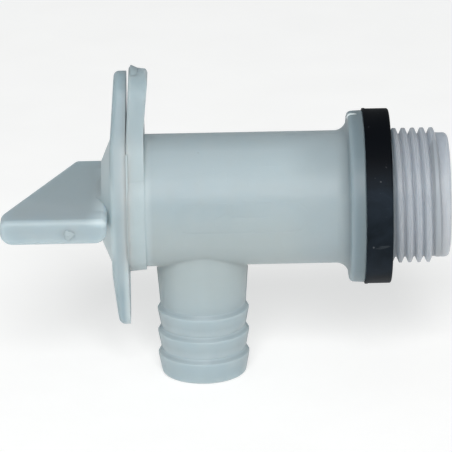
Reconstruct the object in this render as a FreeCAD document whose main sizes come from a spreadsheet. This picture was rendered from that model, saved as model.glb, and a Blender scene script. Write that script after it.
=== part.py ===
"""Lockable plastic barrel tap with a 3/4 inch male inlet and a barbed hose outlet.

The barrel lies along X. Its threaded inlet points to +X, the handle to -X and the hose tail hangs
down to -Z. The origin is on the barrel's axis, in the shoulder face that the gasket sits against.
A hollow rotor turns inside the barrel. Liquid enters its open nose and leaves through a side port,
which faces -Y when the tap is shut and meets the hose tail after a quarter turn about +X.
"""

import FreeCAD
import Part
import math
import operator
import os

import Sketcher
from FreeCAD import Placement, Rotation, Vector

# Driving dimensions in millimetres, or degrees where the name says angle. Places along X end in _x.
DIMENSIONS = {
    # Valve body, outside
    "seam_x": -46.1,
    "flange_thickness": 3.4,
    "flange_radius": 13.9,
    "flange_draft": 0.3,
    "barrel_radius": 13.0,
    "shoulder_thickness": 3.05,
    "shoulder_radius": 16.9,
    "shoulder_draft": 0.2,
    "shoulder_cove": 2.5,
    "shank_radius": 13.3,
    "shank_end_x": 5.3,
    "spigot_radius": 12.2,
    "spigot_end_x": 16.6,
    "spigot_round": 0.9,
    "rim_round": 0.35,
    "shoulder_front_round": 0.85,
    # Inlet thread, G 3/4
    "thread_core_radius": 12.06,
    "thread_crest_radius": 13.22,
    "thread_pitch": 1.814,
    "thread_turns": 5.05,
    "thread_start_x": 4.45,
    "thread_foot": 1.7,
    "thread_crest": 0.55,
    "thread_sink": 0.2,
    "thread_end_x": 14.1,
    # Hose tail
    "outlet_x": -31.8,
    "outlet_end": 35.8,
    "outlet_root_radius": 9.3,
    "outlet_neck_radius": 8.33,
    "outlet_end_radius": 8.3,
    "outlet_throat_radius": 6.0,
    "outlet_bore_radius": 6.3,
    "outlet_step": 13.5,
    "outlet_round": 0.6,
    "neck_round": 0.8,
    "barb_top": 21.35,
    "barb_count": 3,
    "barb_pitch": 4.62,
    "barb_rise": 0.9,
    "barb_land": 0.4,
    "barb_radius": 8.9,
    "barb_valley_radius": 8.25,
    # Padlock ears
    "lock_hole_height": 20.4,
    "lock_hole_radius": 3.3,
    "body_ear_radius": 6.8,
    "body_ear_lean": 0.8,
    "body_ear_bulge": 0.95,
    "body_ear_bulge_height": 24.8,
    "body_ear_bulge_fade": 4.0,
    "ear_lean_start": 14.3,
    "ear_bulge_start": 16.0,
    "ear_taper_angle": 8.0,
    "body_ear_round": 0.4,
    # Bores of the valve body
    "bore_radius": 10.5,
    "step_front_x": -9.2,
    "step_rear_x": -7.2,
    "step_radius": 9.0,
    "clip_chamber_radius": 10.3,
    "clip_chamber_end_x": -3.6,
    "inlet_bore_radius": 10.55,
    # Quarter-turn stop
    "stop_circle": 12.05,
    "stop_slot_radius": 0.75,
    "stop_slot_depth": 1.8,
    "stop_slot_spare_angle": 0.5,
    "stop_turn_angle": 90.0,
    "stop_pin_radius": 0.65,
    "stop_pin_length": 1.5,
    # Raised panel on the barrel's side, with a flow arrow
    "panel_x": -24.1,
    "panel_length": 26.0,
    "panel_height": 6.5,
    "panel_rim": 0.45,
    "panel_relief": 0.08,
    "arrow_length": 11.0,
    "arrow_shaft": 0.9,
    "arrow_head_length": 3.4,
    "arrow_head_height": 3.2,
    # Rotor
    "rotor_radius": 10.44,
    "rotor_end_x": -9.3,
    "rotor_bore_radius": 7.2,
    "rotor_bore_end_x": -48.0,
    "nose_radius": 8.9,
    "nose_end_x": -4.5,
    "port_radius": 5.5,
    "seal_groove_inner_radius": 6.1,
    "seal_groove_outer_radius": 7.7,
    "seal_bed_radius": 9.44,
    "seal_bed_half_length": 8.6,
    "front_ring_x": -43.0,
    "rear_ring_x": -12.0,
    "ring_groove_width": 2.4,
    "ring_groove_radius": 8.64,
    "clip_groove_x": -6.6,
    "clip_groove_width": 1.0,
    "clip_groove_radius": 8.2,
    # Handle
    "seam_gap": 0.06,
    "plate_thickness": 3.15,
    "plate_radius": 13.75,
    "plate_rim_round": 1.1,
    "plate_taper": 1.1,
    "plate_taper_start": 12.5,
    "upper_ear_radius": 5.9,
    "upper_ear_lean": 0.35,
    "lower_ear_radius": 5.8,
    "lower_ear_height": 19.6,
    "cone_base_radius": 12.4,
    "cone_top_radius": 8.0,
    "cone_height": 1.85,
    "grip_thickness": 4.9,
    "grip_half_width": 18.9,
    "grip_inner_x": -49.9,
    "grip_near_x": -70.35,
    "grip_near_length": 5.4,
    "grip_far_x": -57.2,
    "grip_root_half_width": 7.9,
    "grip_root_round": 1.4,
    "grip_bend_round": 4.0,
    "grip_upper_round": 1.3,
    "grip_lower_round": 2.35,
    "grip_end_round": 0.95,
    "gate_x": -57.2,
    "gate_height": -0.5,
    "gate_radius": 0.65,
    "gate_length": 0.12,
    # Seals, washer, clip and gasket
    "o_ring_section": 0.9,
    "o_ring_centre_radius": 9.56,
    "seal_face_radius": 10.46,
    "seal_bed_play": 0.02,
    "seal_side_play": 0.05,
    "washer_x": -7.15,
    "washer_thickness": 0.5,
    "washer_inner_radius": 8.95,
    "washer_outer_radius": 10.0,
    "clip_x": -6.55,
    "clip_thickness": 0.9,
    "clip_inner_radius": 8.25,
    "clip_outer_radius": 10.0,
    "clip_gap": 3.2,
    "clip_eye_radius": 0.4,
    "clip_eye_y": 9.12,
    "clip_eye_z": 2.6,
    "gasket_thickness": 5.1,
    "gasket_radius": 17.15,
    "gasket_bore_radius": 13.35,
    "gasket_round": 0.4,
    "gasket_lip": 0.1,
    "gasket_lip_thickness": 0.5,
}

SHEET = "Dims"
OUTSIDE = 40.0
OPERATIONS = {"+": operator.add, "-": operator.sub, "*": operator.mul, "/": operator.truediv}


# ---------------------------------------------------------------- sizes tied to the spreadsheet


class Size:
    """A number together with the spreadsheet expression that gives it."""

    def __init__(self, value, text):
        self.value = value
        self.text = text

    def __add__(self, other):
        return combine(self, "+", other)

    def __sub__(self, other):
        return combine(self, "-", other)

    def __mul__(self, other):
        return combine(self, "*", other)

    def __truediv__(self, other):
        return combine(self, "/", other)

    def __neg__(self):
        return combine(-1, "*", self)


def combine(left, sign, right):
    """A Size made from two sizes or numbers."""
    value = OPERATIONS[sign](number(left), number(right))
    texts = [getattr(side, "text", str(side)) for side in (left, right)]
    return Size(value, f"({texts[0]} {sign} {texts[1]})")


def number(size):
    """The plain value of a Size or a number."""
    return getattr(size, "value", size)


class Dimensions:
    """The spreadsheet, with each aliased cell as a Size attribute."""

    def __init__(self, doc):
        sheet = doc.addObject("Spreadsheet::Sheet", SHEET)
        for row, (alias, value) in enumerate(DIMENSIONS.items(), start=1):
            sheet.set(f"A{row}", alias.replace("_", " "))
            sheet.set(f"B{row}", str(value))
            sheet.setAlias(f"B{row}", alias)
            setattr(self, alias, Size(value, f"{SHEET}.{alias}"))
        doc.recompute()


def bind(owner, prop, size):
    """Sets a property, and ties it to the spreadsheet where the size comes from there."""
    if isinstance(size, Size):
        owner.setExpression(prop, size.text)
    else:
        setattr(owner, prop, size)


# ---------------------------------------------------------------- sketches


def new_body(doc, name):
    """An empty body whose label names its file."""
    body = doc.addObject("PartDesign::Body", name)
    body.Label = name
    return body


def new_sketch(body, name, plane, lift=0, shift=0):
    """A sketch on an origin plane, lifted along the plane's normal and shifted along its own x."""
    sketch = body.newObject("Sketcher::SketchObject", name)
    support = next(feature for feature in body.Origin.OriginFeatures if feature.Role == plane)
    sketch.AttachmentSupport = [(support, "")]
    sketch.MapMode = "FlatFace"
    sketch.AttachmentOffset = Placement(Vector(number(shift), 0, number(lift)), Rotation())
    for axis, size in (("x", shift), ("z", lift)):
        if isinstance(size, Size):
            sketch.setExpression(f"AttachmentOffset.Base.{axis}", size.text)
    return sketch


def rule(sketch, kind, *targets, size=None):
    """Adds a constraint, tied to the spreadsheet where it has a size."""
    if size is None:
        sketch.addConstraint(Sketcher.Constraint(kind, *targets))
        return
    index = sketch.addConstraint(Sketcher.Constraint(kind, *targets, number(size)))
    if isinstance(size, Size):
        sketch.setExpression(f"Constraints[{index}]", size.text)


def pin_point(sketch, geometry, end, x, y):
    """Fixes one point of a sketch element at x, y."""
    for kind, size, axis in (("DistanceX", x, -2), ("DistanceY", y, -1)):
        if number(size) == 0:
            rule(sketch, "PointOnObject", geometry, end, axis)
        else:
            rule(sketch, kind, -1, 1, geometry, end, size=size)


def flat(x, y):
    """A point in a sketch."""
    return Vector(number(x), number(y), 0)


def ring(centre, radius):
    """A circle in a sketch's plane."""
    return Part.Circle(centre, Vector(0, 0, 1), number(radius))


def polygon(sketch, corners):
    """A closed outline of straight lines through the corners."""
    points = [flat(x, y) for x, y in corners]
    first = sketch.GeometryCount
    for start, end in zip(points, points[1:] + points[:1]):
        sketch.addGeometry(Part.LineSegment(start, end))
    for i, (x, y) in enumerate(corners):
        after = first + (i + 1) % len(corners)
        rule(sketch, "Coincident", first + i, 2, after, 1)
        pin_point(sketch, first + i, 1, x, y)


def rectangle(sketch, left, right, low, high):
    """An upright rectangle."""
    polygon(sketch, [(left, low), (right, low), (right, high), (left, high)])


def circle(sketch, x, y, radius):
    """A full circle."""
    index = sketch.addGeometry(ring(flat(x, y), radius))
    pin_point(sketch, index, 3, x, y)
    rule(sketch, "Radius", index, size=radius)


def ear(sketch, disc_radius, height, tip_radius, up=1):
    """An ear: a round tip at a height, joined to the disc about the origin by tangent sides."""
    disc, tall, tip = number(disc_radius), number(height), number(tip_radius)
    lean = math.asin((disc - tip) / tall)
    slope = Vector(math.cos(lean), math.sin(lean) * up, 0)
    mirrored = Vector(-slope.x, slope.y, 0)
    centre = Vector(0, tall * up, 0)
    foot, other_foot = slope * disc, mirrored * disc
    top, other_top = centre + slope * tip, centre + mirrored * tip
    crown = centre + Vector(0, tip * up, 0)
    outline = [
        Part.Arc(top, crown, other_top),
        Part.LineSegment(foot, top),
        Part.LineSegment(other_top, other_foot),
        Part.LineSegment(other_foot, foot),
    ]
    arc, side, other_side, base = sketch.addGeometry(outline)
    guide = sketch.addGeometry(ring(Vector(0, 0, 0), disc_radius), True)
    at_top, at_other_top = (1, 2) if up > 0 else (2, 1)
    rule(sketch, "Coincident", guide, 3, -1, 1)
    rule(sketch, "Radius", guide, size=disc_radius)
    rule(sketch, "Tangent", arc, at_top, side, 2)
    rule(sketch, "Tangent", arc, at_other_top, other_side, 1)
    rule(sketch, "Tangent", side, 1, guide)
    rule(sketch, "Tangent", other_side, 2, guide)
    rule(sketch, "Coincident", other_side, 2, base, 1)
    rule(sketch, "Coincident", base, 2, side, 1)
    rule(sketch, "Radius", arc, size=tip_radius)
    pin_point(sketch, arc, 3, 0, height * up)


def stadium(sketch, length, height):
    """An oblong with round ends, centred on the sketch's origin."""
    reach = (length - height) / 2
    radius = height / 2
    right, left, top = flat(reach, 0), flat(-reach, 0), Vector(0, number(radius), 0)
    side = Vector(number(radius), 0, 0)
    outline = [
        Part.Arc(right - top, right + side, right + top),
        Part.LineSegment(right + top, left + top),
        Part.Arc(left + top, left - side, left - top),
        Part.LineSegment(left - top, right - top),
    ]
    arc, upper, other_arc, lower = sketch.addGeometry(outline)
    rule(sketch, "Tangent", arc, 2, upper, 1)
    rule(sketch, "Tangent", upper, 2, other_arc, 1)
    rule(sketch, "Tangent", other_arc, 2, lower, 1)
    rule(sketch, "Tangent", lower, 2, arc, 1)
    rule(sketch, "Radius", arc, size=radius)
    pin_point(sketch, arc, 3, reach, 0)
    pin_point(sketch, other_arc, 3, -reach, 0)


# ---------------------------------------------------------------- features


def slot_outline(left, width, low, high):
    """The corners of a rectangular section."""
    return [(left, low), (left + width, low), (left + width, high), (left, high)]


def revolve(body, name, outlines, shift=0, upright=False, cut=False):
    """Turns closed outlines in the XZ plane about the sketch's own x axis, or its upright axis."""
    sketch = new_sketch(body, f"{name}_sketch", "XZ_Plane", shift=shift)
    for outline in outlines:
        polygon(sketch, outline)
    kind = "Groove" if cut else "Revolution"
    feature = body.newObject(f"PartDesign::{kind}", name)
    feature.Profile = sketch
    feature.ReferenceAxis = (sketch, ["V_Axis" if upright else "H_Axis"])
    feature.Angle = 360
    return feature


def extrude(body, name, sketch, length, cut=False, backward=False, both_ways=False):
    """Pads or pockets a sketch along its normal; a pocket goes against the normal by default."""
    kind = "Pocket" if cut else "Pad"
    feature = body.newObject(f"PartDesign::{kind}", name)
    feature.Profile = sketch
    feature.Type = "Length"
    bind(feature, "Length", length)
    feature.Reversed = backward
    if both_ways:
        feature.SideType = "Symmetric"
    return feature


def round_edges(body, name, radius, spots):
    """Rounds the edges of the body that pass through the given points."""
    body.Document.recompute()
    base = body.Tip
    names = set()
    for spot in spots:
        vertex = Part.Vertex(Vector(*(number(size) for size in spot)))
        gaps = [edge.distToShape(vertex)[0] for edge in base.Shape.Edges]
        names.add(f"Edge{gaps.index(min(gaps)) + 1}")
    feature = body.newObject("PartDesign::Fillet", name)
    feature.Base = (base, sorted(names))
    bind(feature, "Radius", radius)


# ---------------------------------------------------------------- valve body


def body_ear(body, d):
    """The fixed padlock ear: a plate that leans slightly away from the handle."""
    flange_rear = d.seam_x + d.flange_thickness
    sketch = new_sketch(body, "ear_sketch", "YZ_Plane", lift=d.seam_x)
    ear(sketch, d.flange_radius - d.flange_draft, d.lock_hole_height, d.body_ear_radius)
    pad = extrude(body, "ear", sketch, d.flange_thickness + d.body_ear_bulge)
    bind(pad, "TaperAngle", -d.ear_taper_angle)
    sketch = new_sketch(body, "ear_lean_sketch", "XZ_Plane")
    front = [
        (d.seam_x - 1, d.ear_lean_start),
        (d.seam_x, d.ear_lean_start),
        (d.seam_x + d.body_ear_lean, d.lock_hole_height + d.body_ear_radius),
        (d.seam_x + d.body_ear_lean, OUTSIDE),
        (d.seam_x - 1, OUTSIDE),
    ]
    polygon(sketch, front)
    rear = [
        (flange_rear, -OUTSIDE),
        (flange_rear + 2, -OUTSIDE),
        (flange_rear + 2, OUTSIDE),
        (flange_rear, OUTSIDE),
        (flange_rear, d.body_ear_bulge_height + d.body_ear_bulge_fade),
        (flange_rear + d.body_ear_bulge, d.body_ear_bulge_height),
        (flange_rear, d.ear_bulge_start),
    ]
    polygon(sketch, rear)
    extrude(body, "ear_lean", sketch, 2 * OUTSIDE, cut=True, both_ways=True)
    tip = (d.seam_x + d.body_ear_lean, 0, d.lock_hole_height + d.body_ear_radius)
    round_edges(body, "ear_round", d.body_ear_round, [tip])


def barrel(body, d):
    """The turned outside: flange, barrel, shoulder, gasket shank and spigot, with a round cove."""
    flange_rear = d.seam_x + d.flange_thickness
    shoulder_front = -d.shoulder_thickness
    outline = [
        (d.seam_x, 0),
        (d.seam_x, d.flange_radius),
        (flange_rear, d.flange_radius - d.flange_draft),
        (flange_rear, d.barrel_radius),
        (shoulder_front, d.barrel_radius),
        (shoulder_front, d.shoulder_radius - d.shoulder_draft),
        (0, d.shoulder_radius),
        (0, d.shank_radius),
        (d.shank_end_x, d.shank_radius),
        (d.shank_end_x, d.thread_core_radius),
        (d.thread_end_x, d.thread_core_radius),
        (d.thread_end_x, d.spigot_radius),
        (d.spigot_end_x, d.spigot_radius),
        (d.spigot_end_x, 0),
    ]
    revolve(body, "barrel", [outline])
    round_edges(body, "shoulder_cove", d.shoulder_cove, [(shoulder_front, -d.barrel_radius, 0)])
    front_rim = (shoulder_front, d.shoulder_draft - d.shoulder_radius, 0)
    round_edges(body, "shoulder_front_rim", d.shoulder_front_round, [front_rim])
    round_edges(body, "shoulder_rear_rim", d.rim_round, [(0, -d.shoulder_radius, 0)])
    round_edges(body, "spigot_rim", d.spigot_round, [(d.spigot_end_x, -d.spigot_radius, 0)])


def side_panel(body, d):
    """A shallow raised frame on the -Y side of the barrel, with a plain arrow along the flow."""
    sketch = new_sketch(body, "panel_sketch", "XZ_Plane", shift=d.panel_x)
    stadium(sketch, d.panel_length, d.panel_height)
    stadium(sketch, d.panel_length - d.panel_rim * 2, d.panel_height - d.panel_rim * 2)
    tail, tip = d.arrow_length / 2, -d.arrow_length / 2
    neck = tip + d.arrow_head_length
    half_shaft, half_head = d.arrow_shaft / 2, d.arrow_head_height / 2
    arrow = [
        (tip, 0),
        (neck, -half_head),
        (neck, -half_shaft),
        (tail, -half_shaft),
        (tail, half_shaft),
        (neck, half_shaft),
        (neck, half_head),
    ]
    polygon(sketch, arrow)
    extrude(body, "panel", sketch, d.barrel_radius + 1)
    left = d.panel_x - d.panel_length / 2 - 1
    low = d.barrel_radius + d.panel_relief
    above = slot_outline(left, d.panel_length + 2, low, d.barrel_radius + 2)
    revolve(body, "panel_trim", [above], cut=True)


def hose_tail(body, d):
    """The outlet: a tapered neck, then barbs whose steps face the barrel."""
    outline = [(0, -8), (d.outlet_root_radius, -8), (d.outlet_neck_radius, -d.barb_top)]
    for i in range(DIMENSIONS["barb_count"]):
        top = -d.barb_top - d.barb_pitch * i
        crest = top - d.barb_rise
        outline.append((d.barb_radius, crest))
        outline.append((d.barb_radius, crest - d.barb_land))
        if i < DIMENSIONS["barb_count"] - 1:
            outline.append((d.barb_valley_radius, top - d.barb_pitch))
    outline.append((d.outlet_end_radius, -d.outlet_end))
    outline.append((0, -d.outlet_end))
    revolve(body, "hose_tail", [outline], shift=d.outlet_x, upright=True)
    rim = [(d.outlet_x, -d.outlet_end_radius, -d.outlet_end)]
    round_edges(body, "hose_tail_rim", d.outlet_round, rim)


def inlet_thread(body, d):
    """A right-hand thread on the spigot; its first turn starts inside the plain shank."""
    sketch = new_sketch(body, "thread_sketch", "XZ_Plane")
    foot = d.thread_core_radius - d.thread_sink
    profile = [
        (d.thread_start_x - d.thread_foot / 2, foot),
        (d.thread_start_x + d.thread_foot / 2, foot),
        (d.thread_start_x + d.thread_crest / 2, d.thread_crest_radius),
        (d.thread_start_x - d.thread_crest / 2, d.thread_crest_radius),
    ]
    polygon(sketch, profile)
    thread = body.newObject("PartDesign::AdditiveHelix", "inlet_thread")
    thread.Profile = sketch
    thread.ReferenceAxis = (sketch, ["H_Axis"])
    thread.Mode = 1
    bind(thread, "Pitch", d.thread_pitch)
    bind(thread, "Turns", d.thread_turns)
    thread.LeftHanded = False


def body_bores(body, d):
    """The rotor bore with its step, the clip chamber, the inlet bore and the stepped outlet."""
    through = [
        (d.seam_x - 1, 0),
        (d.seam_x - 1, d.bore_radius),
        (d.step_front_x, d.bore_radius),
        (d.step_front_x, d.step_radius),
        (d.step_rear_x, d.step_radius),
        (d.step_rear_x, d.clip_chamber_radius),
        (d.clip_chamber_end_x, d.clip_chamber_radius),
        (d.clip_chamber_end_x, d.inlet_bore_radius),
        (d.spigot_end_x + 1, d.inlet_bore_radius),
        (d.spigot_end_x + 1, 0),
    ]
    revolve(body, "bore", [through], cut=True)
    down = [
        (0, -5),
        (d.outlet_throat_radius, -5),
        (d.outlet_throat_radius, -d.outlet_step),
        (d.outlet_bore_radius, -d.outlet_step),
        (d.outlet_bore_radius, -d.outlet_end - 1),
        (0, -d.outlet_end - 1),
    ]
    revolve(body, "outlet_bore", [down], shift=d.outlet_x, upright=True, cut=True)


def stop_slot(body, d):
    """The curved slot in the flange's front face that lets the rotor's pin turn a quarter."""
    sketch = new_sketch(body, "stop_slot_sketch", "YZ_Plane", lift=d.seam_x)
    first = math.radians(-number(d.stop_slot_spare_angle))
    last = math.radians(number(d.stop_turn_angle + d.stop_slot_spare_angle))
    inner, outer = d.stop_circle - d.stop_slot_radius, d.stop_circle + d.stop_slot_radius
    start, end = (Vector(math.cos(angle), math.sin(angle), 0) for angle in (first, last))
    back = Vector(start.y, -start.x, 0) * number(d.stop_slot_radius)
    ahead = Vector(-end.y, end.x, 0) * number(d.stop_slot_radius)
    far, near = number(outer), number(inner)
    outline = [
        Part.ArcOfCircle(ring(Vector(0, 0, 0), outer), first, last),
        Part.Arc(end * far, end * number(d.stop_circle) + ahead, end * near),
        Part.ArcOfCircle(ring(Vector(0, 0, 0), inner), first, last),
        Part.Arc(start * near, start * number(d.stop_circle) + back, start * far),
    ]
    wide, cap, narrow, other_cap = sketch.addGeometry(outline)
    rule(sketch, "Coincident", wide, 3, -1, 1)
    rule(sketch, "Coincident", narrow, 3, -1, 1)
    rule(sketch, "Tangent", wide, 2, cap, 1)
    rule(sketch, "Tangent", cap, 2, narrow, 2)
    rule(sketch, "Tangent", narrow, 1, other_cap, 1)
    rule(sketch, "Tangent", other_cap, 2, wide, 1)
    rule(sketch, "Radius", wide, size=outer)
    rule(sketch, "Radius", narrow, size=inner)
    extrude(body, "stop_slot", sketch, d.stop_slot_depth, cut=True, backward=True)


def lock_hole(body, name, d, height):
    """A padlock hole along X through everything at a height."""
    sketch = new_sketch(body, f"{name}_sketch", "YZ_Plane", lift=d.seam_x)
    circle(sketch, 0, height, d.lock_hole_radius)
    extrude(body, name, sketch, OUTSIDE / 2, cut=True, both_ways=True)


def valve_body(doc, d):
    """Barrel, flange, ear, spigot and hose tail in one moulding."""
    body = new_body(doc, "valve_body")
    body_ear(body, d)
    barrel(body, d)
    side_panel(body, d)
    hose_tail(body, d)
    neck = [(d.outlet_x - d.outlet_root_radius, 0, -d.barrel_radius)]
    round_edges(body, "neck_round", d.neck_round, neck)
    inlet_thread(body, d)
    body_bores(body, d)
    stop_slot(body, d)
    lock_hole(body, "lock_hole", d, d.lock_hole_height)
    return body


# ---------------------------------------------------------------- rotor with its handle


def boss_top(d):
    """The place along X of the boss's flat top."""
    return d.seam_x - d.seam_gap - d.plate_thickness - d.cone_height


def ear_outline_points(x, disc, height, tip, up):
    """Points on the ear's tip, on its straight sides and on the disc beside them, at one x."""
    disc, height, tip = (number(size) for size in (disc, height, tip))
    slope = math.asin((disc - tip) / height)
    side = (disc + tip) / 2
    level = height / 2 + side * math.sin(slope)
    across = side * math.cos(slope)
    points = [(x, 0, (height + tip) * up), (x, across, level * up), (x, -across, level * up)]
    across = disc * math.cos(slope / 2)
    level = disc * math.sin(slope / 2)
    return points + [(x, across, level * up), (x, -across, level * up)]


def handle_plate(body, d):
    """A disc with two opposite ears, thinner towards the ear tips on its front side."""
    rear = d.seam_x - d.seam_gap
    front = rear - d.plate_thickness
    sketch = new_sketch(body, "disc_sketch", "YZ_Plane", lift=rear)
    circle(sketch, 0, 0, d.plate_radius)
    extrude(body, "disc", sketch, d.plate_thickness, backward=True)
    tip = d.lock_hole_height + d.upper_ear_radius
    tips = (("upper", d.lock_hole_height, d.upper_ear_radius, 1, d.upper_ear_lean),)
    tips += (("lower", d.lower_ear_height, d.lower_ear_radius, -1, 0),)
    for side, height, radius, up, lean in tips:
        sketch = new_sketch(body, f"{side}_ear_sketch", "YZ_Plane", lift=rear + lean)
        ear(sketch, d.plate_radius, height, radius, up)
        extrude(body, f"{side}_ear", sketch, d.plate_thickness + lean, backward=True)
    sketch = new_sketch(body, "plate_taper_sketch", "XZ_Plane")
    lean_wedge = [
        (rear, 0),
        (rear, d.ear_lean_start),
        (rear + d.upper_ear_lean, tip),
        (rear + 1, tip),
        (rear + 1, 0),
    ]
    polygon(sketch, lean_wedge)
    for up in (1, -1):
        wedge = [
            (front, d.plate_taper_start * up),
            (front + d.plate_taper, tip * up),
            (front + d.plate_taper, up * OUTSIDE),
            (front - 1, up * OUTSIDE),
            (front - 1, d.plate_taper_start * up),
        ]
        polygon(sketch, wedge)
    extrude(body, "plate_taper", sketch, 2 * OUTSIDE, cut=True, both_ways=True)
    outline = []
    for _, height, radius, up, _ in tips:
        outline += ear_outline_points(front, d.plate_radius, height, radius, up)
        outline += ear_outline_points(front + d.plate_taper, d.plate_radius, height, radius, up)
    round_edges(body, "plate_rim", d.plate_rim_round, outline)


def rotor_core(body, d):
    """The turned part: plate disc, boss cone, rotor barrel and nose."""
    rear = d.seam_x - d.seam_gap
    front = rear - d.plate_thickness
    outline = [
        (boss_top(d), 0),
        (boss_top(d), d.cone_top_radius),
        (front, d.cone_base_radius),
        (rear, d.cone_base_radius),
        (rear, d.rotor_radius),
        (d.rotor_end_x, d.rotor_radius),
        (d.rotor_end_x, d.nose_radius),
        (d.nose_end_x, d.nose_radius),
        (d.nose_end_x, 0),
    ]
    revolve(body, "core", [outline])


def grip(body, d):
    """The finger grip: a flat fin with rounded edges, deeper at its -Y end, on a short root."""
    root_x = boss_top(d) + d.cone_height
    sketch = new_sketch(body, "grip_sketch", "XY_Plane")
    outline = [
        (d.grip_inner_x, -d.grip_half_width),
        (d.grip_near_x, -d.grip_half_width),
        (d.grip_near_x, d.grip_near_length - d.grip_half_width),
        (d.grip_far_x, d.grip_half_width),
        (d.grip_inner_x, d.grip_half_width),
        (d.grip_inner_x, d.grip_root_half_width),
        (root_x, d.grip_root_half_width),
        (root_x, -d.grip_root_half_width),
        (d.grip_inner_x, -d.grip_root_half_width),
    ]
    polygon(sketch, outline)
    extrude(body, "grip", sketch, d.grip_thickness, both_ways=True)
    half = d.grip_thickness / 2
    bend = (d.grip_near_x, d.grip_near_length - d.grip_half_width, 0)
    round_edges(body, "grip_bend", d.grip_bend_round, [bend])
    outer = (d.grip_near_x + d.grip_far_x) / 2
    aside = (d.grip_root_half_width + d.grip_half_width) / 2
    for side, z, radius in (("upper", half, d.grip_upper_round), ("lower", -half, d.grip_lower_round)):
        edges = [(outer, 0, z), (d.grip_inner_x, aside, z), (d.grip_inner_x, -aside, z)]
        round_edges(body, f"grip_{side}_edges", radius, edges)
    middle = (d.grip_inner_x + d.grip_far_x) / 2
    ends = [(middle, d.grip_half_width * y, half) for y in (1, -1)]
    round_edges(body, "grip_ends", d.grip_end_round, ends)


def gate_mark(body, d):
    """The small stub that the moulding gate leaves on the grip's -Y end."""
    sketch = new_sketch(body, "gate_sketch", "XZ_Plane", lift=d.grip_half_width)
    circle(sketch, d.gate_x, d.gate_height, d.gate_radius)
    extrude(body, "gate", sketch, d.gate_length)


def grip_root(body, d):
    """Rounds the corner where the grip stands on the boss."""
    half = d.grip_thickness / 2
    corners = [(boss_top(d), 0, side) for side in (half, -half)]
    round_edges(body, "grip_root_round", d.grip_root_round, corners)


def seal_groove(body, d):
    """The ring-shaped groove round the port, with a bed that follows the rotor."""
    sketch = new_sketch(body, "seal_groove_sketch", "XZ_Plane", lift=d.rotor_bore_radius)
    circle(sketch, d.outlet_x, 0, d.seal_groove_inner_radius)
    circle(sketch, d.outlet_x, 0, d.seal_groove_outer_radius)
    extrude(body, "seal_groove", sketch, d.rotor_radius, cut=True, backward=True)
    bed = [
        (d.outlet_x - d.seal_bed_half_length, 0),
        (d.outlet_x - d.seal_bed_half_length, d.seal_bed_radius),
        (d.outlet_x + d.seal_bed_half_length, d.seal_bed_radius),
        (d.outlet_x + d.seal_bed_half_length, 0),
    ]
    revolve(body, "seal_bed", [bed])


def rotor_cuts(body, d):
    """Ring grooves, clip groove, the hollow inside and the side port."""
    deep = d.rotor_radius + 1
    half = d.ring_groove_width / 2
    grooves = [slot_outline(d.clip_groove_x, d.clip_groove_width, d.clip_groove_radius, deep)]
    for place in (d.front_ring_x, d.rear_ring_x):
        grooves.append(slot_outline(place - half, d.ring_groove_width, d.ring_groove_radius, deep))
    revolve(body, "ring_grooves", grooves, cut=True)
    hollow_length = d.nose_end_x - d.rotor_bore_end_x + 1
    hollow = slot_outline(d.rotor_bore_end_x, hollow_length, 0, d.rotor_bore_radius)
    revolve(body, "hollow", [hollow], cut=True)
    sketch = new_sketch(body, "port_sketch", "XZ_Plane")
    circle(sketch, d.outlet_x, 0, d.port_radius)
    extrude(body, "port", sketch, OUTSIDE, cut=True, backward=True)


def plug_key(doc, d):
    """Rotor, plate, ears, boss and grip in one moulding."""
    body = new_body(doc, "plug_key")
    handle_plate(body, d)
    grip(body, d)
    rotor_core(body, d)
    grip_root(body, d)
    gate_mark(body, d)
    seal_groove(body, d)
    rotor_cuts(body, d)
    sketch = new_sketch(body, "stop_pin_sketch", "YZ_Plane", lift=d.seam_x - d.seam_gap)
    circle(sketch, d.stop_circle, 0, d.stop_pin_radius)
    extrude(body, "stop_pin", sketch, d.stop_pin_length)
    lock_hole_pair(body, d)
    return body


def lock_hole_pair(body, d):
    """One padlock hole in each ear of the handle."""
    sketch = new_sketch(body, "lock_holes_sketch", "YZ_Plane", lift=d.seam_x + 1)
    for height in (d.lock_hole_height, -d.lower_ear_height):
        circle(sketch, 0, height, d.lock_hole_radius)
    extrude(body, "lock_holes", sketch, d.plate_thickness + 2, cut=True)


# ---------------------------------------------------------------- seals, washer and clip


def o_ring(doc, d, name, place):
    """A round-section ring about the barrel's axis."""
    torus = doc.addObject("Part::Torus", name)
    torus.Label = name
    torus.Placement = Placement(Vector(0, 0, 0), Rotation(Vector(0, 1, 0), 90))
    bind(torus, "Placement.Base.x", place)
    bind(torus, "Radius1", d.o_ring_centre_radius)
    bind(torus, "Radius2", d.o_ring_section)
    return torus


def port_seal(doc, d):
    """A flat ring bent round the rotor, between the port and the barrel's bore."""
    body = new_body(doc, "port_seal")
    sketch = new_sketch(body, "ring_sketch", "XZ_Plane", lift=d.rotor_bore_radius)
    circle(sketch, d.outlet_x, 0, d.seal_groove_inner_radius + d.seal_side_play)
    circle(sketch, d.outlet_x, 0, d.seal_groove_outer_radius - d.seal_side_play)
    extrude(body, "ring", sketch, d.rotor_radius)
    left = d.outlet_x - d.seal_bed_half_length
    width = d.seal_bed_half_length * 2
    bed = slot_outline(left, width, 0, d.seal_bed_radius + d.seal_bed_play)
    face = slot_outline(left, width, d.seal_face_radius, d.rotor_radius * 2)
    revolve(body, "curved_faces", [bed, face], cut=True)
    return body


def thrust_washer(doc, d):
    """A flat washer between the barrel's step and the clip."""
    body = new_body(doc, "thrust_washer")
    section = slot_outline(
        d.washer_x, d.washer_thickness, d.washer_inner_radius, d.washer_outer_radius
    )
    revolve(body, "washer", [section])
    return body


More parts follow.
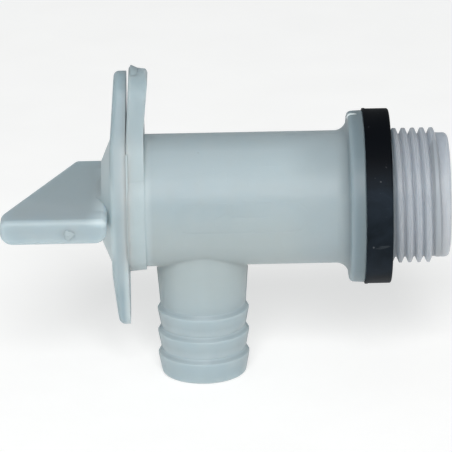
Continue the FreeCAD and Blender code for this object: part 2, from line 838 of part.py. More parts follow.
def retaining_ring(doc, d):
    """An open ring that snaps into the nose's groove, with an eye at each end for pliers."""
    body = new_body(doc, "retaining_ring")
    section = slot_outline(d.clip_x, d.clip_thickness, d.clip_inner_radius, d.clip_outer_radius)
    revolve(body, "ring", [section])
    sketch = new_sketch(body, "opening_sketch", "YZ_Plane", lift=d.clip_x)
    rectangle(sketch, d.nose_radius / 2, d.rotor_radius, -d.clip_gap / 2, d.clip_gap / 2)
    extrude(body, "opening", sketch, d.clip_thickness, cut=True, backward=True)
    sketch = new_sketch(body, "eyes_sketch", "YZ_Plane", lift=d.clip_x)
    for up in (1, -1):
        circle(sketch, d.clip_eye_y, d.clip_eye_z * up, d.clip_eye_radius)
    extrude(body, "eyes", sketch, d.clip_thickness, cut=True, backward=True)
    return body


def inlet_gasket(doc, d):
    """A thick rubber washer on the shank, with a thin moulding lip at the shoulder side."""
    body = new_body(doc, "inlet_gasket")
    section = [
        (0, d.gasket_bore_radius),
        (d.gasket_thickness, d.gasket_bore_radius),
        (d.gasket_thickness, d.gasket_radius),
        (d.gasket_lip_thickness, d.gasket_radius),
        (d.gasket_lip_thickness, d.gasket_radius + d.gasket_lip),
        (0, d.gasket_radius + d.gasket_lip),
    ]
    revolve(body, "ring", [section])
    rim = [(d.gasket_thickness, -d.gasket_radius, 0)]
    round_edges(body, "outer_round", d.gasket_round, rim)
    return body


# ---------------------------------------------------------------- the whole tap


def build():
    """Makes the document and returns it with its pieces."""
    doc = FreeCAD.newDocument("barrel_tap")
    d = Dimensions(doc)
    pieces = [
        valve_body(doc, d),
        plug_key(doc, d),
        o_ring(doc, d, "front_o_ring", d.front_ring_x),
        o_ring(doc, d, "rear_o_ring", d.rear_ring_x),
        port_seal(doc, d),
        thrust_washer(doc, d),
        retaining_ring(doc, d),
        inlet_gasket(doc, d),
    ]
    doc.recompute()
    return doc, pieces


def check(doc, pieces):
    """Stops if any object failed, or a piece isn't one valid solid."""
    failed = [item.Name for item in doc.Objects if {"Invalid", "Error"} & set(item.State)]
    if failed:
        raise RuntimeError(f"these objects failed: {failed}")
    for piece in pieces:
        shape = piece.Shape
        if shape.isNull() or not shape.isValid() or len(shape.Solids) != 1:
            raise RuntimeError(f"{piece.Label} isn't one valid solid")


def main():
    """Builds the tap and writes each piece's file."""
    doc, pieces = build()
    check(doc, pieces)
    os.makedirs("parts", exist_ok=True)
    for piece in pieces:
        piece.Shape.exportStep(f"parts/{piece.Label}.step")
        print(f"{piece.Label}: {piece.Shape.Volume:.1f} mm3")


main()
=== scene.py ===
"""Looks for the lockable barrel tap: moulded polyethylene, rubber and small mould details.

The model's frame is +X along the barrel to the threaded inlet, +Z up to the padlock ears and -Z
down the hose tail. The part's dimensions and the points of the meshes are in millimetres, and
new_piece and Nodes.ramp turn them into metres. Blender's own values are in metres.
"""

import math
import random

import bmesh
import bpy
from mathutils import Matrix, Vector


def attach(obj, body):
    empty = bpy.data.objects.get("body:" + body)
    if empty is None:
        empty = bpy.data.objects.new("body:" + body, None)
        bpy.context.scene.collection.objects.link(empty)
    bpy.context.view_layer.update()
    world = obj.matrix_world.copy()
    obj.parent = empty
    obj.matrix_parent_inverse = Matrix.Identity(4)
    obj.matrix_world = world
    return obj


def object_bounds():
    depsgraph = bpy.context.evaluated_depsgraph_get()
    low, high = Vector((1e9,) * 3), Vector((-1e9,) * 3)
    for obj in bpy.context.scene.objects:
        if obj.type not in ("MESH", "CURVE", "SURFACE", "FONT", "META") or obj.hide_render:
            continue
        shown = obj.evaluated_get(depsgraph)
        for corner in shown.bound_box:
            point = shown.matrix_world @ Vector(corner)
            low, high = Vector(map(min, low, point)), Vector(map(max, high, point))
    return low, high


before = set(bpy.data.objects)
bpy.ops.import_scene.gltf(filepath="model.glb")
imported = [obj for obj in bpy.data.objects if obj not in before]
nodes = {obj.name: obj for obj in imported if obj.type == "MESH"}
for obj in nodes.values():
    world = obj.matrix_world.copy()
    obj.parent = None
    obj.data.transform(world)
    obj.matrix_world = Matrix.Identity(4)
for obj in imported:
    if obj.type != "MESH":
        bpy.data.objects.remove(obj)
cad_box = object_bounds()

MM = 0.001

# ---------------------------------------------------------------- the part's dimensions, in mm

BARREL_RADIUS = 13.0
FLANGE_REAR = -42.7
FLANGE_RADIUS = 13.9
SHOULDER_FACE = -3.05
SHOULDER_RADIUS = 16.75
SHOULDER_ROUND = 0.85
COVE = 2.5

TAIL_X = -31.8
TAIL_ROOT_RADIUS, TAIL_ROOT_DEPTH = 9.3, 8.0
TAIL_END_RADIUS, TAIL_END_DEPTH = 8.3, 35.2
NECK_RADIUS = 8.33
BARB_TOP, BARB_PITCH, BARB_COUNT = 21.35, 4.62, 3
BARB_RISE, BARB_LAND = 0.9, 0.4
BARB_CREST, BARB_VALLEY = 8.9, 8.25

EAR_HEIGHT = 20.4
EAR_RADIUS = 6.8
EAR_PEAK_X = -44.85
SEAM_X = -46.1
SEAM_GAP = 0.055
SEAM_TOP = 12.6

THREAD_START = 4.45
THREAD_PITCH = 1.814
THREAD_FULL_TURNS = 5
THREAD_CORE, THREAD_CREST = 12.0, 13.2
THREAD_FOOT_WIDTH, THREAD_CREST_WIDTH = 1.66, 0.53

GATE_X, GATE_Z = -57.2, -0.5
GRIP_END = -18.9

# ---------------------------------------------------------------- node helpers


class Nodes:
    """A small writer for one material's node tree."""

    def __init__(self, name):
        self.material = bpy.data.materials.new(name)
        self.material.use_nodes = True
        self.tree = self.material.node_tree
        self.shader = self.tree.nodes["Principled BSDF"]
        surface = self.add("ShaderNodeTexCoord")
        self.coords, self.normal = surface.outputs["Object"], surface.outputs["Normal"]

    def add(self, kind, **settings):
        node = self.tree.nodes.new(kind)
        for key, value in settings.items():
            setattr(node, key, value)
        return node

    def link(self, source, target):
        self.tree.links.new(source, target)

    def feed(self, node, values):
        """Sets or links a node's inputs, given by name or by number."""
        for key, value in values.items():
            if isinstance(value, bpy.types.NodeSocket):
                self.link(value, node.inputs[key])
            else:
                node.inputs[key].default_value = value

    def math(self, operation, a, b=0.0):
        node = self.add("ShaderNodeMath", operation=operation)
        self.feed(node, {0: a, 1: b})
        return node.outputs[0]

    def product(self, *factors):
        total = factors[0]
        for factor in factors[1:]:
            total = self.math("MULTIPLY", total, factor)
        return total

    def length(self, a, b):
        """The length of a vector with two components."""
        squares = [self.product(side, side) for side in (a, b)]
        return self.math("SQRT", self.math("ADD", *squares))

    def component(self, vector, axis):
        node = self.add("ShaderNodeSeparateXYZ")
        self.link(vector, node.inputs[0])
        return node.outputs[axis]

    def place(self, axis):
        """A point's place along an axis, "X", "Y" or "Z", of the model's frame."""
        return self.component(self.coords, axis)

    def facing(self, axis):
        """How far the surface faces along an axis of the model's frame, from -1 to 1."""
        return self.component(self.normal, axis)

    def radius(self):
        """The distance from the barrel's axis."""
        return self.length(self.place("Y"), self.place("Z"))

    def noise(self, scale, detail=3.0, roughness=0.5, stretch=None, distortion=0.0):
        vector = self.coords
        if stretch:
            mapping = self.add("ShaderNodeMapping")
            self.feed(mapping, {"Vector": self.coords, "Scale": stretch})
            vector = mapping.outputs["Vector"]
        values = {
            "Vector": vector,
            "Scale": scale,
            "Detail": detail,
            "Roughness": roughness,
            "Distortion": distortion,
        }
        node = self.add("ShaderNodeTexNoise")
        self.feed(node, values)
        return node.outputs["Fac"]

    def remap(self, value, low, high, to_low=0.0, to_high=1.0, smooth=False):
        """Takes low to to_low and high to to_high, and stays level outside them."""
        node = self.add("ShaderNodeMapRange", clamp=True)
        if smooth:
            node.interpolation_type = "SMOOTHSTEP"
        values = {
            "Value": value,
            "From Min": low,
            "From Max": high,
            "To Min": to_low,
            "To Max": to_high,
        }
        self.feed(node, values)
        return node.outputs["Result"]

    def ramp(self, distance, zero_at, full_at, full=1.0, smooth=False):
        """A mask that is 0 at one distance and full at the other, both in millimetres."""
        return self.remap(distance, zero_at * MM, full_at * MM, 0.0, full, smooth)

    def mix(self, factor, a, b):
        """Mixes two colours. Inputs 0, 6 and 7 are a colour mix's factor, A and B."""
        node = self.add("ShaderNodeMix", data_type="RGBA")
        self.feed(node, {0: factor, 6: a, 7: b})
        return node.outputs[2]

    def paint(self, tone, places):
        """Mixes colours over a tone one after another, each by its own mask."""
        for mask, shade in places:
            tone = self.mix(mask, tone, colour(*shade))
        return tone

    def bump(self, height, strength, distance, normal=None):
        node = self.add("ShaderNodeBump")
        self.feed(node, {"Height": height, "Strength": strength, "Distance": distance})
        if normal:
            self.link(normal, node.inputs["Normal"])
        return node.outputs["Normal"]


def colour(r, g, b):
    return (r, g, b, 1.0)


# ---------------------------------------------------------------- materials


def body_tones(n):
    """The body's tones from place to place, each as a mask and a colour."""
    height, along = n.place("Z"), n.place("X")
    below_axis = n.ramp(height, 6.0, -7.0, smooth=True)
    above_barbs = n.ramp(height, -24.0, -14.0, smooth=True)
    lit_upper_side = n.product(n.ramp(height, 6.2, 9.2), n.ramp(height, 12.8, 11.6))
    shaded_near_cove = n.ramp(along, -16.5, -7.5, smooth=True)
    ear = n.ramp(height, 14.5, 16.5)
    under_ear = n.ramp(height, 14.8, SEAM_TOP)
    flange = n.product(under_ear, n.ramp(along, -41.8, -42.8, smooth=True))
    seam = n.product(under_ear, n.ramp(along, -44.8, -45.8, smooth=True))
    lit_behind_flange = n.product(n.ramp(along, -41.2, -42.4), n.ramp(n.radius(), 13.4, 13.1))
    places = [
        (n.product(below_axis, above_barbs), (0.355, 0.408, 0.415)),
        # Painted light: a paler tone on the barrel's upper side, where the lamp falls most.
        (lit_upper_side, (0.388, 0.457, 0.482)),
        # Painted shade: the barrel darkens towards the cove, where light is lost into the black
        # gasket.
        (shaded_near_cove, (0.322, 0.38, 0.402)),
        (ear, (0.314, 0.382, 0.405)),
        (flange, (0.39, 0.462, 0.48)),
        # Painted light over the seam to the handle's plate, where shade falls in the gap.
        (seam, (0.44, 0.51, 0.525)),
        # Painted light on the barrel just behind the flange's step, over the shade in that corner.
        (lit_behind_flange, (0.455, 0.53, 0.55)),
    ]
    return places + spigot_tones(n) + tail_tones(n)


def spigot_tones(n):
    """A pinkish spigot; painted light on the mouth and flanks, painted shade on crests and shank.
    """
    height, along = n.place("Z"), n.place("X")
    spigot = n.ramp(along, -4.0, 7.0, smooth=True)
    lit_mouth = n.product(n.ramp(along, 13.5, 14.8, smooth=True), n.ramp(height, 11.5, 6.0))
    threaded = n.ramp(along, 5.0, 5.6)
    shaded_crests = n.product(threaded, n.ramp(n.radius(), 12.1, 13.1, full=0.75))
    steep = n.remap(n.math("ABSOLUTE", n.facing("X")), 0.35, 0.8, smooth=True)
    lit_flanks = n.product(threaded, steep, n.ramp(along, 15.2, 14.8))
    shaded_near_gasket = n.product(n.ramp(along, -5.2, -1.4, smooth=True), n.ramp(along, 6.2, 4.9))
    return [
        (spigot, (0.354, 0.376, 0.41)),
        # Painted light: the inlet's mouth is paler below its top, where the lamp falls.
        (lit_mouth, (0.39, 0.41, 0.437)),
        # Painted shade on the thread's crests.
        (shaded_crests, (0.285, 0.31, 0.345)),
        # Painted light on the thread's steep flanks, which the lamp lights little.
        (lit_flanks, (0.415, 0.437, 0.468)),
        # Painted shade on the shoulder and shank next to the black gasket.
        (shaded_near_gasket, (0.165, 0.213, 0.235)),
    ]


def tail_tones(n):
    """Painted shade on the barbs' upward ledges, and painted light in the notches between them."""
    height = n.place("Z")
    barbed = n.ramp(height, -20.8, -21.6)
    from_axis = n.length(n.math("SUBTRACT", n.place("X"), TAIL_X * MM), n.place("Y"))
    shaded_ledges = n.product(barbed, n.remap(n.facing("Z"), 0.25, 0.5))
    above_end = n.ramp(height, -32.8, -31.8)
    lit_notches = n.product(barbed, above_end, n.ramp(from_axis, 8.55, 8.28))
    # Painted shade on the upward ledges, and painted light in the notches below them.
    return [(shaded_ledges, (0.305, 0.362, 0.383)), (lit_notches, (0.41, 0.477, 0.5))]


def key_tones(n):
    """Darker ears, painted shade on the rim and far end, painted light on seam, cone and corner.
    """
    height, along, aside = n.place("Z"), n.place("X"), n.place("Y")
    ears = n.ramp(n.math("ABSOLUTE", height), 12.0, 18.0, smooth=True)
    edge = n.ramp(n.radius(), 12.5, 13.5)
    rim = n.product(edge, n.ramp(along, -47.4, -48.2), n.ramp(along, -49.9, -49.4, full=0.5))
    under_ear = n.ramp(height, 14.8, SEAM_TOP)
    seam = n.product(edge, under_ear, n.ramp(along, -47.5, -46.5, smooth=True))
    inside = n.ramp(n.radius(), 14.2, 12.8, smooth=True)
    off_plate = n.ramp(along, -47.8, -48.8, smooth=True)
    up_to_grip = n.ramp(along, -53.5, -51.0, smooth=True)
    near_end = n.ramp(aside, -12.5, -16.5, smooth=True)
    corner = n.product(near_end, n.ramp(along, -54.0, -51.5), n.ramp(height, 0.8, 2.0))
    shaded_far_end = n.product(n.ramp(along, -50.0, -53.0), n.ramp(aside, -14.0, 18.0, full=0.5))
    return [
        (ears, (0.268, 0.334, 0.361)),
        # Painted shade on the plate's rounded rim.
        (rim, (0.27, 0.33, 0.35)),
        # Painted light over the seam to the body's flange, where shade falls in the gap.
        (seam, (0.425, 0.492, 0.51)),
        # Painted light on the cone between the plate and the grip, where the grip shades it.
        (n.product(inside, off_plate, up_to_grip), (0.47, 0.55, 0.57)),
        # Painted highlight on the top of the grip's near corner.
        (corner, (0.465, 0.541, 0.562)),
        # Painted shade: the grip darkens towards its far end.
        (shaded_far_end, (0.25, 0.325, 0.345)),
    ]


def polyethylene(name, place_tones, seed=0.0, deep=True, whitened_and_glint=False):
    """Natural translucent polyethylene, satin as moulded, with cloudy patches and light scuffs.

    Light scatters deep inside a whole moulding; a thin flake of flash only reflects it, and
    bending whitens it. The whitened flake also carries a painted highlight, a glint on the rim.
    The seed stretches the clouds, so that two mouldings don't match.
    """
    n = Nodes(name)
    clouds = n.noise(52.0, 4.0, 0.55, stretch=(0.7, 1.0, 1.0 + seed), distortion=0.6)
    mottle = n.noise(240.0, 3.0, 0.6)
    cloudy = n.remap(clouds, 0.32, 0.7)
    tone = n.mix(cloudy, colour(0.324, 0.396, 0.425), colour(0.362, 0.424, 0.447))
    tone = n.mix(n.remap(mottle, 0.3, 0.75, 0.0, 0.3), tone, colour(0.368, 0.407, 0.404))
    # The place tones carry painted light and shade as well as tint.
    tone = n.paint(tone, place_tones(n))
    # The whitened tone is stress whitening and also a painted highlight, a glint on the rim.
    if whitened_and_glint:
        tone = n.mix(0.85, tone, colour(0.72, 0.78, 0.78))
    elif not deep:
        tone = n.mix(0.22, tone, colour(0.2, 0.25, 0.26))
    cells = n.add("ShaderNodeTexVoronoi")
    n.feed(cells, {"Vector": n.coords, "Scale": 190.0, "Randomness": 1.0})
    dots = n.remap(cells.outputs["Distance"], 0.012, 0.03, 0.55, 0.0)
    sparse = n.remap(n.noise(75.0, 1.0, 0.5), 0.55, 0.6)
    tone = n.mix(n.product(dots, sparse), tone, colour(0.16, 0.15, 0.12))
    n.link(tone, n.shader.inputs["Base Color"])

    scratch_a = n.noise(90.0, 2.0, 0.5, stretch=(1.0, 14.0, 22.0), distortion=0.4)
    scratch_b = n.noise(70.0, 2.0, 0.5, stretch=(17.0, 5.0, 1.0), distortion=0.5)
    scratches = n.math("MAXIMUM", n.remap(scratch_a, 0.66, 0.72), n.remap(scratch_b, 0.67, 0.73))
    fine = n.remap(mottle, 0.2, 0.8, 0.0, 0.06)
    rough = n.math("ADD", n.remap(clouds, 0.2, 0.8, 0.38, 0.48), fine)
    rough = n.math("ADD", rough, n.product(scratches, 0.08))
    n.link(rough, n.shader.inputs["Roughness"])

    grain = n.noise(2600.0, 2.0, 0.6)
    waves = n.noise(110.0, 2.0, 0.4)
    normal = n.bump(waves, 0.16, 0.0009)
    normal = n.bump(grain, 0.16, 0.00006, normal)
    normal = n.bump(scratches, 0.12, 0.00005, normal)
    n.link(normal, n.shader.inputs["Normal"])
    values = {
        "Subsurface Weight": 1.0 if deep else 0.0,
        "Subsurface Radius": (1.0, 1.15, 1.25),
        "Subsurface Scale": 0.005,
        "IOR": 1.51,
        "Specular IOR Level": 0.3,
    }
    n.feed(n.shader, values)
    return n.material


def gasket_rubber():
    """Moulded black rubber with a bloom of dust, painted shade on its top, fine pits and a few
    scuffs.
    """
    n = Nodes("gasket_rubber")
    bloom = n.noise(160.0, 5.0, 0.62, distortion=0.8)
    dusty = n.remap(bloom, 0.35, 0.75)
    tone = n.mix(dusty, colour(0.004, 0.007, 0.01), colour(0.012, 0.018, 0.026))
    top = n.ramp(n.place("Z"), 5.0, 12.0, smooth=True)
    scuffs = n.noise(120.0, 3.0, 0.55, stretch=(1.0, 1.0, 3.0), distortion=1.2)
    marks = n.remap(scuffs, 0.68, 0.76)
    specks = n.remap(n.noise(900.0, 2.0, 0.5), 0.72, 0.8, 0.0, 0.5)
    places = [
        # Painted shade: the gasket's top is made darker.
        (top, (0.0012, 0.002, 0.0035)),
        (n.product(marks, 0.3), (0.10, 0.115, 0.125)),
        (specks, (0.12, 0.13, 0.14)),
    ]
    n.link(n.paint(tone, places), n.shader.inputs["Base Color"])
    rough = n.math("ADD", n.remap(bloom, 0.2, 0.8, 0.5, 0.68), n.product(marks, 0.15))
    n.link(rough, n.shader.inputs["Roughness"])
    normal = n.bump(n.noise(70.0, 2.0, 0.5), 0.2, 0.0006)
    normal = n.bump(n.noise(3200.0, 2.0, 0.6), 0.25, 0.00008, normal)
    n.link(normal, n.shader.inputs["Normal"])
    n.feed(n.shader, {"IOR": 1.52, "Specular IOR Level": 0.06})
    return n.material


def seal_rubber():
    """Smooth black nitrile with a film of grease."""
    n = Nodes("seal_rubber")
    film = n.noise(300.0, 3.0, 0.5)
    tone = n.mix(n.remap(film, 0.3, 0.7), colour(0.012, 0.012, 0.013), colour(0.03, 0.03, 0.032))
    n.link(tone, n.shader.inputs["Base Color"])
    n.link(n.remap(film, 0.2, 0.8, 0.22, 0.42), n.shader.inputs["Roughness"])
    n.link(n.bump(n.noise(2400.0, 2.0), 0.15, 0.00005), n.shader.inputs["Normal"])
    return n.material


def washer_plastic():
    """Low-friction white plastic with turning marks."""
    n = Nodes("washer_plastic")
    marks = n.noise(500.0, 3.0, 0.5, stretch=(8.0, 1.0, 1.0))
    tone = n.mix(n.remap(marks, 0.3, 0.7), colour(0.78, 0.78, 0.74), colour(0.86, 0.86, 0.83))
    n.link(tone, n.shader.inputs["Base Color"])
    n.link(n.remap(marks, 0.2, 0.8, 0.4, 0.55), n.shader.inputs["Roughness"])
    n.link(n.bump(marks, 0.12, 0.00005), n.shader.inputs["Normal"])
    return n.material


def clip_steel():
    """Spring steel with fine drawn lines."""
    n = Nodes("clip_steel")
    lines = n.noise(900.0, 3.0, 0.6, stretch=(9.0, 1.0, 1.0))
    tone = n.mix(n.remap(lines, 0.3, 0.7), colour(0.50, 0.51, 0.52), colour(0.66, 0.66, 0.67))
    n.link(tone, n.shader.inputs["Base Color"])
    n.link(n.remap(lines, 0.2, 0.8, 0.24, 0.42), n.shader.inputs["Roughness"])
    n.link(n.bump(lines, 0.15, 0.00004), n.shader.inputs["Normal"])
    n.feed(n.shader, {"Metallic": 1.0})
    return n.material


def floor_paper():
    """Pale studio paper that glows a little, so that it looks as bright as a white page."""
    n = Nodes("floor_paper")
    fibre = n.noise(40.0, 4.0, 0.6)
    tone = n.mix(n.remap(fibre, 0.3, 0.7), colour(0.52, 0.517, 0.51), colour(0.55, 0.547, 0.54))
    n.link(tone, n.shader.inputs["Base Color"])
    glow = {"Emission Color": colour(1.0, 0.995, 0.985), "Emission Strength": 0.53}
    n.feed(n.shader, {"Roughness": 0.9, "Specular IOR Level": 0.1, **glow})
    return n.material


def dress(material, *names):
    for name in names:
        mesh = nodes[name].data
        mesh.materials.clear()
        mesh.materials.append(material)


KEY_SEED = 0.35
body_plastic = polyethylene("moulded_body", body_tones)
key_plastic = polyethylene("moulded_key", key_tones, KEY_SEED)
body_flash = polyethylene("moulded_body_flash", body_tones, deep=False)
key_flash = polyethylene("moulded_key_flash", key_tones, KEY_SEED, deep=False)
whitened_glint_flash = polyethylene("moulded_body_whitened_glint", body_tones, deep=False, whitened_and_glint=True)
dress(body_plastic, "valve_body")
dress(key_plastic, "plug_key")
dress(gasket_rubber(), "inlet_gasket")
dress(seal_rubber(), "front_o_ring", "rear_o_ring", "port_seal")
dress(washer_plastic(), "thrust_washer")
dress(clip_steel(), "retaining_ring")

# ---------------------------------------------------------------- mould details

SHARP_ANGLE = math.radians(28)
X_AXIS, Y_AXIS = Vector((1, 0, 0)), Vector((0, 1, 0))


def new_piece(name, bm, material, body):
    """Makes a mesh object from a bmesh in millimetres and lets it ride on a body."""
    bmesh.ops.recalc_face_normals(bm, faces=bm.faces)
    bm.transform(Matrix.Scale(MM, 4))
    mesh = bpy.data.meshes.new(name)
    bm.to_mesh(mesh)
    bm.free()
    mesh.shade_smooth()
    mesh.set_sharp_from_angle(angle=SHARP_ANGLE)
    piece = bpy.data.objects.new(name, mesh)
    mesh.materials.append(material)
    bpy.context.scene.collection.objects.link(piece)
    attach(piece, body)


def body_ridge(name, material, points, outward, across, sections):
    """Sweeps a closed section along points on the body, with one section for each point.

    A section's corners are pairs: how far across the ridge, and how far outward.
    """
    bm = bmesh.new()
    rings = []
    for point, out, section in zip(points, outward, sections, strict=True):
        rings.append([bm.verts.new(point + across * a + out * u) for a, u in section])
    for first, second in zip(rings, rings[1:]):
        count = len(first)
        for k in range(count):
            following = (k + 1) % count
            bm.faces.new((first[k], first[following], second[following], second[k]))
    bm.faces.new(rings[0])
    bm.faces.new(reversed(rings[-1]))
    new_piece(name, bm, material, "valve")


def resample(path, step):
    """Evenly spaced points along a path of (x, z) pairs in the plane y = 0."""
    path = [Vector((x, 0, z)) for x, z in path]
    points = [path[0]]
    for a, b in zip(path, path[1:]):
        count = max(1, round((b - a).length / step))
        points += [a.lerp(b, k / count) for k in range(1, count + 1)]
    return points


def in_plane(points):
    """The outward direction at each point of a path in the plane y = 0, on the path's left."""
    outward = []
    for k in range(len(points)):
        before, after = points[max(0, k - 1)], points[min(len(points) - 1, k + 1)]
        tangent = (after - before).normalized()
        outward.append(Vector((-tangent.z, 0, tangent.x)))
    return outward


def parting_line(name, path, rng, width, height):
    """The thin witness line that the mould's halves leave, as a low ridge with a sunk foot."""
    points = resample(path, 0.5)
    foot, flank, sink = width / 2, width * 0.275, 0.12
    sections = []
    for _ in points:
        top = height * rng.uniform(0.55, 1.2)
        side = top * 0.7
        sections.append([(-foot, -sink), (-flank, side), (0, top), (flank, side), (foot, -sink)])
    body_ridge(name, body_flash, points, in_plane(points), Y_AXIS, sections)


def cove_path(sign):
    """The cove and the shoulder's front face, at the top (sign 1) or the bottom (sign -1)."""
    arc_x, arc_z = SHOULDER_FACE - COVE, BARREL_RADIUS + COVE
    turns = [math.radians(9 * k) for k in range(11)]
    arc = [(arc_x + COVE * math.sin(t), sign * (arc_z - COVE * math.cos(t))) for t in turns]
    return arc + [(SHOULDER_FACE, sign * (SHOULDER_RADIUS - SHOULDER_ROUND))]


def rim_path():
    """The shoulder's rounded front rim and a little of its edge, at the top."""
    reach, sunk = SHOULDER_ROUND, 0.03
    centre_x, centre_z = SHOULDER_FACE + reach, SHOULDER_RADIUS - reach - sunk
    turns = [math.radians(10 * k) for k in range(10)]
    arc = [(centre_x - reach * math.cos(t), centre_z + reach * math.sin(t)) for t in turns]
    return arc + [(centre_x + 1.1, centre_z + reach + 0.06)]


def tail_path(sign):
    """The hose tail's outline downwards, on the inlet's side (sign 1) or the key's (sign -1)."""
    slope = (TAIL_ROOT_RADIUS - NECK_RADIUS) / (BARB_TOP - TAIL_ROOT_DEPTH)
    start = 14.0
    path = [(TAIL_ROOT_RADIUS - slope * (start - TAIL_ROOT_DEPTH), start), (NECK_RADIUS, BARB_TOP)]
    for i in range(BARB_COUNT):
        crest = BARB_TOP + BARB_PITCH * i + BARB_RISE
        path += [(BARB_CREST, crest), (BARB_CREST, crest + BARB_LAND)]
        if i < BARB_COUNT - 1:
            path.append((BARB_VALLEY, BARB_TOP + BARB_PITCH * (i + 1)))
    path.append((TAIL_END_RADIUS, TAIL_END_DEPTH))
    return [(TAIL_X + sign * radius, -depth) for radius, depth in path]


def make_parting_lines():
    rng = random.Random(3)
    top = [(FLANGE_REAR + 0.1, BARREL_RADIUS)] + cove_path(1)
    parting_line("parting_line_top", top, rng, width=0.2, height=0.025)
    beside_tail = TAIL_X + 10.6
    below = [(beside_tail, -BARREL_RADIUS)] + cove_path(-1)
    parting_line("parting_line_under", below[::-1], rng, width=0.2, height=0.025)
    parting_line("parting_line_tail_front", tail_path(1)[::-1], rng, width=0.3, height=0.06)
    parting_line("parting_line_tail_rear", tail_path(-1), rng, width=0.3, height=0.06)


def make_shoulder_flash():
    """A thin flake of flash where the parting line crosses the shoulder's front rim."""
    rng = random.Random(21)
    points = resample(rim_path(), 0.15)
    sections = []
    for k in range(len(points)):
        swell = math.sin(math.pi * k / (len(points) - 1)) ** 0.7
        height = swell * (0.28 + 0.12 * rng.random())
        lean = 0.25 * height
        top = [(-0.06 - lean, height), (0.04 - lean, height)]
        sections.append([(-0.1, -0.1), *top, (0.12, -0.1)])
    # Its whitened material paints a glint on the rim as well as stress whitening.
    body_ridge("shoulder_flash", whitened_glint_flash, points, in_plane(points), Y_AXIS, sections)


def make_ear_flash():
    """A torn wedge of flash that stands up near the front edge of the body's ear."""
    rng = random.Random(5)
    count = 36
    reach = math.radians(24)
    turns = [-reach + 2 * reach * k / count for k in range(count + 1)]
    radials = [Vector((0, math.sin(t), math.cos(t))) for t in turns]
    centre = Vector((EAR_PEAK_X, 0, EAR_HEIGHT))
    points = [centre + radial * (EAR_RADIUS - 0.03) for radial in radials]
    sections = []
    for turn in turns:
        fade = math.cos(math.pi / 2 * turn / reach)
        height = fade * (0.48 + 0.06 * rng.random()) - 0.13
        sections.append([(-0.42, -0.4), (-0.08, height), (0.06, height * 0.92), (1.35, -0.4)])
    body_ridge("ear_flash", body_flash, points, radials, X_AXIS, sections)


def make_seam_lip():
    """The fine lip on the flange's front edge that closes the seam to the handle's plate."""
    rng = random.Random(14)
    side_steps, arc_steps = 12, 120
    slope = math.asin((FLANGE_RADIUS - EAR_RADIUS) / EAR_HEIGHT)
    tangent = Vector((0, math.cos(slope), math.sin(slope)))
    upwards = Vector((0, -math.sin(slope), math.cos(slope)))
    start = tangent * FLANGE_RADIUS
    straight = (SEAM_TOP - start.z) / upwards.z
    side = [start + upwards * straight * (1 - k / side_steps) for k in range(side_steps)]
    angles = [slope - (math.pi + 2 * slope) * k / arc_steps for k in range(arc_steps + 1)]
    arc = [Vector((0, math.cos(angle), math.sin(angle))) for angle in angles]
    other_side = [Vector((0, -p.y, p.z)) for p in reversed(side)]
    other_tangent = Vector((0, -tangent.y, tangent.z))
    outline = side + [radial * FLANGE_RADIUS for radial in arc] + other_side
    points = [p + Vector((SEAM_X, 0, 0)) for p in outline]
    outward = [tangent] * side_steps + arc + [other_tangent] * side_steps
    sections = []
    for _ in points:
        top = 0.02 + 0.02 * rng.random()
        sections.append([(-SEAM_GAP, -0.45), (-SEAM_GAP, top - 0.01), (0.03, top), (0.3, -0.1)])
    body_ridge("seam_lip", body_flash, points, outward, X_AXIS, sections)


def make_thread_run_out():
    """The last turn of the thread, which sinks into the spigot instead of stopping short."""
    count = 90
    first, sinking_from, last = (math.radians(angle) for angle in (6, 20, 172))
    foot = THREAD_FOOT_WIDTH / 2
    points, radials, sections = [], [], []
    for k in range(count + 1):
        angle = first + (last - first) * k / count
        radial = Vector((0, -math.sin(angle), math.cos(angle)))
        x = THREAD_START + THREAD_PITCH * (THREAD_FULL_TURNS + angle / (2 * math.pi))
        sunk = max(0.0, (angle - sinking_from) / (last - sinking_from))
        crest = (THREAD_CREST - THREAD_CORE) * (1 - sunk**1.4) - 0.01
        wide = THREAD_CREST_WIDTH / 2 * (1 + sunk)
        points.append(Vector((x, 0, 0)) + radial * THREAD_CORE)
        radials.append(radial)
        sections.append([(-foot, -0.15), (-wide, crest), (wide, crest), (foot, -0.15)])
    body_ridge("thread_run_out", body_flash, points, radials, X_AXIS, sections)


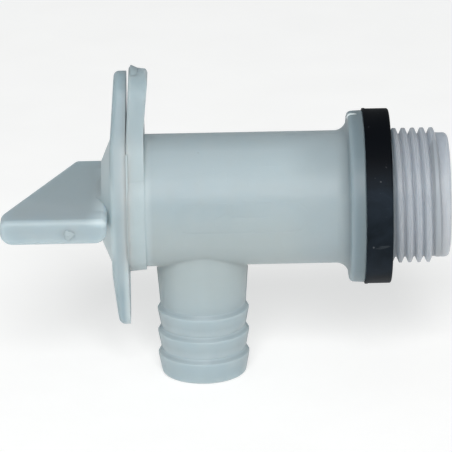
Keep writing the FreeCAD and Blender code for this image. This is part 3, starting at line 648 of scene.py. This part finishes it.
def make_gate_scar():
    """The torn, uneven patch that the cut-off moulding gate leaves on the grip's end."""
    rng = random.Random(11)
    ring_count, spoke_count, lump_count = 8, 36, 9
    reach, thickness, sink, depth = 1.02, 0.165, 0.03, 0.15
    flat_share, lump_spread = 0.66, 0.05
    lumps = []
    for _ in range(lump_count):
        x, z, tall = rng.uniform(-0.6, 0.6), rng.uniform(-0.55, 0.55), rng.uniform(0.02, 0.08)
        lumps.append((x, z, tall))
    spokes = [2 * math.pi * k / spoke_count for k in range(spoke_count)]
    edges = [1 + 0.14 * math.sin(3 * a + 1) + 0.08 * math.sin(7 * a) for a in spokes]
    bm = bmesh.new()

    def vertex(radius, angle, fade):
        x, z = radius * math.cos(angle), radius * math.sin(angle)
        height = thickness * fade
        for lump_x, lump_z, tall in lumps:
            away = (x - lump_x) ** 2 + (z - lump_z) ** 2
            height += tall * fade * math.exp(-away / lump_spread)
        return bm.verts.new((GATE_X + x, GRIP_END - height + sink, GATE_Z + z))

    centre = vertex(0, 0, 1)
    loops = []
    for ring in range(1, ring_count + 1):
        share = ring / ring_count
        fade = 1 - max(0.0, (share - flat_share) / (1 - flat_share)) ** 2
        loops.append([vertex(reach * share * edge, a, fade) for a, edge in zip(spokes, edges)])
    back = [bm.verts.new((v.co.x, GRIP_END + depth, v.co.z)) for v in loops[-1]]
    loops.append(back)
    for k in range(spoke_count):
        bm.faces.new((centre, loops[0][k], loops[0][(k + 1) % spoke_count]))
    for inner, outer in zip(loops, loops[1:]):
        for k in range(spoke_count):
            following = (k + 1) % spoke_count
            bm.faces.new((inner[k], outer[k], outer[following], inner[following]))
    bm.faces.new(back)
    new_piece("gate_scar", bm, key_flash, "key")


make_parting_lines()
make_shoulder_flash()
make_ear_flash()
make_seam_lip()
make_thread_run_out()
make_gate_scar()

# ---------------------------------------------------------------- floor, light and camera

FLOOR_HALF_WIDTH = 2.5
WORLD_TINT, WORLD_STRENGTH = (0.94, 0.995, 1.03), 0.37
LAMP_PLACE, LAMP_TARGET = Vector((-0.05, -1.19, 0.84)), Vector((-0.027, 0.0, 0.0))
LAMP_SIZE, LAMP_POWER = 0.75, 18.8

VIEW_ELEVATION = math.radians(19.0)
VIEW_AZIMUTH = math.radians(0.25)
VIEW_ROLL = math.radians(1.04)
VIEW_TARGET = Vector((-0.027, 0.0, -0.00569))
VIEW_DISTANCE = 0.690
VIEW_WIDTH = 0.0889
SENSOR_WIDTH = 36.0  # Blender wants the sensor and the lens in millimetres


def make_floor():
    size = FLOOR_HALF_WIDTH
    z = cad_box[0].z
    corners = [(-size, -size, z), (size, -size, z), (size, size, z), (-size, size, z)]
    mesh = bpy.data.meshes.new("floor")
    mesh.from_pydata(corners, [], [(0, 1, 2, 3)])
    floor = bpy.data.objects.new("floor", mesh)
    mesh.materials.append(floor_paper())
    bpy.context.scene.collection.objects.link(floor)


def light_scene():
    """One large soft lamp on the camera's side and above, in a pale world."""
    world = bpy.data.worlds.new("studio")
    bpy.context.scene.world = world
    world.use_nodes = True
    background = world.node_tree.nodes["Background"]
    background.inputs["Color"].default_value = colour(*WORLD_TINT)
    background.inputs["Strength"].default_value = WORLD_STRENGTH
    data = bpy.data.lights.new("key_light", "AREA")
    data.shape = "DISK"
    data.size = LAMP_SIZE
    data.energy = LAMP_POWER
    lamp = bpy.data.objects.new("key_light", data)
    bpy.context.scene.collection.objects.link(lamp)
    lamp.location = LAMP_PLACE
    lamp.rotation_mode = "QUATERNION"
    lamp.rotation_quaternion = (LAMP_TARGET - LAMP_PLACE).to_track_quat("-Z", "Y")


def make_camera():
    data = bpy.data.cameras.new("camera")
    data.sensor_width = SENSOR_WIDTH
    data.lens = SENSOR_WIDTH * VIEW_DISTANCE / VIEW_WIDTH
    data.clip_start, data.clip_end = 0.05, 20.0
    camera = bpy.data.objects.new("camera", data)
    bpy.context.scene.collection.objects.link(camera)
    level = math.cos(VIEW_ELEVATION)
    forward_x, forward_y = math.sin(VIEW_AZIMUTH) * level, math.cos(VIEW_AZIMUTH) * level
    forward = Vector((forward_x, forward_y, -math.sin(VIEW_ELEVATION)))
    right = forward.cross(Vector((0, 0, 1))).normalized()
    up = right.cross(forward)
    c, s = math.cos(VIEW_ROLL), math.sin(VIEW_ROLL)
    turn = Matrix((c * right - s * up, s * right + c * up, -forward)).transposed()
    place = Matrix.Translation(VIEW_TARGET - forward * VIEW_DISTANCE)
    camera.matrix_world = place @ turn.to_4x4()
    bpy.context.scene.camera = camera


make_floor()
light_scene()
make_camera()
bpy.context.scene.view_settings.view_transform = "Standard"
